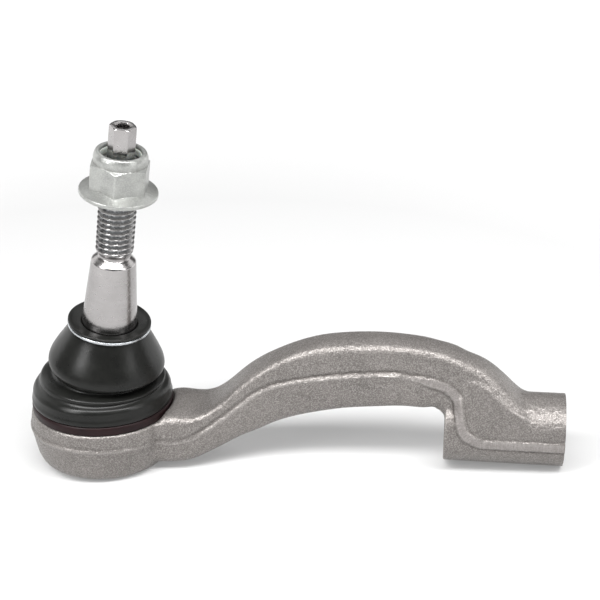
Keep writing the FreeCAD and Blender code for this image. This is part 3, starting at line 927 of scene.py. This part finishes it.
def make_stud(tree):
    """Ball, neck, taper and thread turned in one, and the hexagon tip with its lobed socket."""
    start = math.asin(NECK_R / BALL_R)
    steps = 39
    outline = [(0, -BALL_R)]
    for k in range(1, steps + 1):
        a = math.pi - (math.pi - start) * k / steps
        outline.append((BALL_R * math.sin(a), BALL_R * math.cos(a)))
    outline += fillet([(NECK_R, BALL_R * math.cos(start), 0), (NECK_R, 25.0, 3.0), (8.5, 31.2, 1.2),
                       (8.85, 32.4, 0.6), (8.85, 35.0, 1.0), (8.1, 44.0, 0), (7.6, 50.0, 0),
                       (7.08, 56.1, 0.2), (6.85, 56.5, 0.2), (5.5, 57.7, 0.3), (5.0, 58.05, 0.3),
                       (5.0, 59.0, 0.4), (STUD_CREST_R, 60.1, 0)], 5)
    outline += rows_between(60.2, 90.6, STUD_CREST_R, STUD_PITCH / 12)
    outline += [(5.0, 91.4), (0, 91.4)]
    piece = turned("ball_stud_turned", outline, 96)
    cut_thread(piece, tree, STUD_STEEL, Root_radius=STUD_ROOT_R, Crest_radius=STUD_CREST_R,
               Pitch=STUD_PITCH, Start=59.7, End=90.9, Run_out=1.2, Reach_low=5.6, Reach_high=6.4,
               Crest_flat=0.15)

    six = hex_form(7.4, TIP_HEADING, 4.22)

    def tip_form(theta, r, z):
        if r < 2.6:
            return r
        return min(six(theta), 3.75 + (102.4 - z) * 1.15 if z > 98 else 9, r)

    tip_rows = [(0, 90.2), (4.4, 90.2), (4.4, 95.0), (4.4, 100.6)]
    tip_rows += [(4.4, z) for z in (101.2, 101.5, 101.75, 101.95, 102.12, 102.25, 102.33)]
    tip_rows += [(3.6, 102.4), (2.75, 102.4)]
    lobes = [(2.45, 102.3), (2.3, 102.05), (2.25, 101.6), (2.25, 98.6), (0, 97.9)]

    def socket_form(theta, r, z):
        if r > 2.5:
            return tip_form(theta, r, z)
        return r * (1 - 0.13 * (0.5 - 0.5 * math.cos(6 * (theta - math.radians(TIP_HEADING)))))

    tip = turned("tip", tip_rows + lobes, 120, form=socket_form, turn=TIP_HEADING)
    join(piece, tip)
    keep_blank(piece.data)
    keep_thread_shade_mask(piece.data, 59.9, 91.2, STUD_ROOT_R, STUD_CREST_R)
    paint(piece, STUD_STEEL)
    settle(piece.data, None, lambda z: 1.0)
    finish_shape(piece, 32.0)
    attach(piece, "stud")
    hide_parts("ball_stud")
    return piece


def make_nut(tree):
    """Flange nut: sloped flange, hexagon with a coned crown, and the collar that holds the insert."""
    six = hex_form(17.0, NUT_HEADING, 9.72)
    rim, slope_top, hex_high = 1.3, 2.4, 10.8

    def flange(z):
        """Radius of the flange's upper slope."""
        return 12.15 - (z - rim) * (12.15 - 9.3) / (slope_top - rim) if z < slope_top + 0.4 else 0.0

    def outside(theta, r, z):
        if r < 7.6 or z <= rim or z > hex_high:
            return r
        return max(flange(z), min(six(theta), 8.55 + (hex_high - z) * 1.6))

    rows = [(6.05, 0.7), (6.7, 0.0), (11.7, 0.0)]
    rows += [(12.08, 0.06), (12.26, 0.25), (12.3, 0.6), (12.28, 1.0), (12.2, 1.22), (12.12, 1.31)]
    rows += [(9.9, z) for z in np.arange(1.4, 2.75, 0.09)]
    rows += [(9.9, z) for z in np.arange(2.9, 9.7, 0.3)]
    rows += [(9.9, z) for z in np.arange(9.8, hex_high + 0.01, 0.1)]
    rows += fillet([(8.42, hex_high + 0.08, 0), (8.45, 12.8, 1.7), (7.75, 14.25, 1.1), (6.95, 14.4, 0.4),
                    (6.5, 14.1, 0.3), (6.42, 13.3, 0.1), (7.52, 13.25, 0)], 5)
    rows += [(7.52, 11.15), (6.05, 11.1)]
    rows += rows_between(11.0, 0.75, 6.06, STUD_PITCH / 8)
    piece = turned("flange_lock_nut", rows, 180, ring=True, form=outside, turn=NUT_HEADING)
    cut_thread(piece, tree, ZINC, Root_radius=6.5, Crest_radius=6.06, Pitch=STUD_PITCH, Start=0.8,
               End=11.0, Run_out=0.8, Reach_low=5.0, Reach_high=6.3, Crest_flat=0.2)
    keep_curvature(piece.data, 7.0, 1)
    settle(piece.data, Matrix.Translation((0, 0, NUT_H * MM)), lambda z: 1.0)
    paint(piece, ZINC)
    finish_shape(piece, 28.0)
    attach(piece, "nut")
    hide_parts("flange_nut")
    return piece


def make_insert():
    """Locking insert in the nut's collar."""
    rows = fillet([(6.05, 12.2, 0), (6.05, 11.25, 0.3), (7.48, 11.25, 0.1), (7.48, 13.18, 0.1),
                   (6.1, 13.18, 0.4), (6.05, 12.2, 0)], 4)[:-1]
    piece = turned("locking_insert", rows, 96, ring=True,
                   place=Matrix.Translation((0, 0, NUT_H * MM)), lean_of=lambda z: 1.0)
    paint(piece, INSERT)
    finish_shape(piece)
    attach(piece, "nut_carriage")
    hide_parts("nut_locking_insert")
    return piece


# ======================================================================================
# boot and its rings
# ======================================================================================

# outside of the boot at rest, up from the roll that laps over the clamp band
FOLDS = [(22.3, 4.6), (22.95, 4.8), (23.15, 5.7), (22.85, 6.9), (22.7, 8.0), (22.55, 9.0), (21.9, 10.1),
         (20.9, 10.9), (20.45, 11.5), (20.5, 12.3), (20.1, 13.2), (18.5, 14.0), (17.0, 14.5),
         (16.55, 15.1), (16.9, 15.9), (18.1, 17.1), (18.85, 18.9), (18.45, 21.0),
         (17.0, 24.0), (15.1, 27.3), (13.6, 30.0), (12.75, 31.7), (12.55, 32.3)]


def boot_lean(z):
    """Share of the stud's lean that the boot has at a height: none at its foot, all at its lip."""
    s = min(max((z - 8.5) / 11.5, 0.0), 1.0)
    return s * s * (3 - 2 * s)


def make_boot():
    """Folded boot, bent between its foot on the head and its lip on the stud."""
    outer = soften(FOLDS, 6)
    groove = [(12.2, 32.42), (12.16, 32.6), (12.16, 33.3), (12.25, 33.46)]
    lip = fillet([(12.9, 33.5, 0.1), (13.35, 33.6, 0.2), (13.38, 34.3, 0.25), (12.9, 34.45, 0.35),
                  (11.9, 34.0, 0.8), (10.4, 33.75, 0.8), (9.3, 33.75, 0.5),
                  (8.98, 33.5, 0.2), (8.96, 32.4, 0.3), (10.2, 31.6, 0.6)], 4)
    wall = 1.5
    inner = [(r - wall, z) for r, z in reversed(soften(FOLDS[5:-1], 4))]
    foot = [(18.6, 6.4), (18.6, 1.7), (21.05, 1.6), (21.08, 4.5)]
    rows = outer + groove + lip + inner + foot
    piece = turned("dust_boot_moulding", rows, 128, ring=True, lean_of=boot_lean)
    paint(piece, RUBBER)
    finish_shape(piece, 50.0)
    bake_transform(piece)
    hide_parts("dust_boot")
    return piece


def make_rings():
    """Clamp band round the boot's foot and bright ring under its lip."""
    low = fillet([(21.15, 3.0, 0), (21.15, 1.6, 0.3), (23.1, 1.6, 0.4), (23.2, 3.9, 0.5),
                  (22.8, 4.5, 0.4), (21.3, 4.52, 0.3), (21.15, 3.0, 0)], 4)[:-1]
    band = turned("boot_clamp_band", low, 128, ring=True)
    paint(band, BAND)
    finish_shape(band)
    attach(band, "housing")
    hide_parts("boot_lower_ring")
    high = fillet([(12.25, 32.9, 0), (12.25, 32.46, 0.1), (13.3, 32.42, 0.3), (13.46, 32.9, 0.2),
                   (13.4, 33.42, 0.25), (12.25, 33.42, 0.1), (12.25, 32.9, 0)], 4)[:-1]
    ring = turned("boot_lip_ring", high, 128, ring=True, lean_of=lambda z: 1.0)
    paint(ring, BRIGHT)
    finish_shape(ring)
    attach(ring, "boot_collar")
    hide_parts("boot_upper_ring")


def make_cap():
    """Pressed disc that closes the head from below."""
    rows = fillet([(0, -15.3, 0), (7.6, -15.3, 0.8), (9.2, -15.78, 0.8), (14.5, -15.8, 0.4),
                   (14.95, -15.6, 0.2), (14.95, -14.2, 0.2), (14.5, -14.1, 0.2), (0, -14.1, 0)], 5)
    cap = turned("pressed_end_cap", rows, 96)
    paint(cap, CAP_STEEL)
    finish_shape(cap)
    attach(cap, "housing")
    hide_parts("end_cap")


# ======================================================================================
# floor, light and camera
# ======================================================================================

def make_stage():
    """Pale floor that touches the head's lower edge and the boss, as the part lies on it."""
    near, far = Vector((HEAD_FOOT_R, HEAD_BOTTOM)), Vector((BOSS_RIGHT, BOSS_Z - BOSS_R))
    slope = math.atan2(far.y - near.y, far.x - near.x)
    bpy.ops.mesh.primitive_plane_add(size=9.0)
    floor = bpy.context.object
    floor.name = "studio_floor"
    place = Matrix.Translation((near.x * MM, 0, (near.y - 0.05) * MM)) @ Matrix.Rotation(-slope, 4, "Y")
    floor.data.transform(place)
    m, b, shader = new_finish("studio_floor_paint_and_glow", Roughness=0.9, Specular_IOR_Level=0.1,
                              Emission_Strength=1.0)
    where = b.where()
    tone = b.noise(where, 3.0, 2.0, 0.5)
    b.put(b.mix(tone, (0.47, 0.47, 0.47, 1), (0.49, 0.49, 0.49, 1)), shader.inputs["Base Color"])
    # painted glow: the floor is given its own emission, weak near the part and strong far out, so it shows
    # white away from the part
    away = b.add("ShaderNodeVectorMath", _operation="LENGTH")
    b.put(where, away.inputs[0])
    lift = b.spread(away.outputs["Value"], 0.25, 0.8)
    b.put(b.mix(lift, (0.22, 0.22, 0.22, 1), (1.15, 1.15, 1.15, 1)), shader.inputs["Emission Color"])
    # the floor is see-through from below, so the part's underside can be looked at
    under = b.add("ShaderNodeNewGeometry").outputs["Backfacing"]
    b.put(b.math("SUBTRACT", 1.0, under), shader.inputs["Alpha"])
    paint(floor, m)


VIEW_TURN = 6.4            # degrees, the bench camera's turn about Z


def softbox(name, turn, rise, far, width, height, power, aim=(0.065, 0, 0.02)):
    """Area light, turn degrees to the right of the camera and rise degrees up, seen from the part."""
    a = math.radians(turn + VIEW_TURN - 90)
    e = math.radians(rise)
    aim = Vector(aim)
    place = aim + far * Vector((math.cos(a) * math.cos(e), math.sin(a) * math.cos(e), math.sin(e)))
    light = bpy.data.lights.new(name, "AREA")
    light.shape = "RECTANGLE"
    light.size = width
    light.size_y = height
    light.energy = power
    holder = bpy.data.objects.new(name, light)
    holder.location = place
    holder.rotation_euler = (aim - place).to_track_quat("-Z", "Y").to_euler()
    bpy.context.collection.objects.link(holder)


def make_light():
    """Long box high in front, side boxes, low rear panels and a weak even air."""
    world = bpy.data.worlds.new("studio_air")
    bpy.context.scene.world = world
    world.use_nodes = True
    world.node_tree.nodes["Background"].inputs["Color"].default_value = (1, 1, 1, 1)
    world.node_tree.nodes["Background"].inputs["Strength"].default_value = 0.15
    softbox("top_front_box", 0, 64, 0.85, 1.2, 0.24, 13.0)
    softbox("left_box", -52, 34, 0.8, 0.26, 0.45, 3.8)
    softbox("right_box", 60, 28, 0.8, 0.2, 0.5, 1.8)
    softbox("left_rear_panel", -122, 18, 0.9, 0.5, 0.6, 1.3)
    softbox("right_rear_panel", 122, 18, 0.9, 0.5, 0.6, 1.3)
    softbox("back_box", 170, 52, 1.0, 1.2, 0.5, 2.0)


def make_camera():
    """Bench camera: looks down on the part's near side, turned a little about Z."""
    lens = bpy.data.cameras.new("bench_camera")
    lens.sensor_width = 36.0
    lens.lens = 90.0
    camera = bpy.data.objects.new("bench_camera", lens)
    camera.location = (114.32 * MM, -432.22 * MM, 235.95 * MM)
    camera.rotation_euler = (math.radians(90 - 24), 0, math.radians(VIEW_TURN))
    bpy.context.collection.objects.link(camera)
    bpy.context.scene.camera = camera


# ======================================================================================
# the order of work
# ======================================================================================

make_camera()
thread = thread_tree()
make_forging()
make_rod_thread(thread)
make_stud(thread)
make_nut(thread)
make_insert()
make_boot()
make_rings()
make_cap()
for node, finish in (("upper_ball_race", RACE), ("lower_ball_race", RACE), ("preload_spring", SPRING),
                     ("cap_seal_ring", SEAL_RUBBER)):
    paint(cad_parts[node], finish)
make_stage()
make_light()

bpy.context.scene.view_settings.view_transform = "Standard"
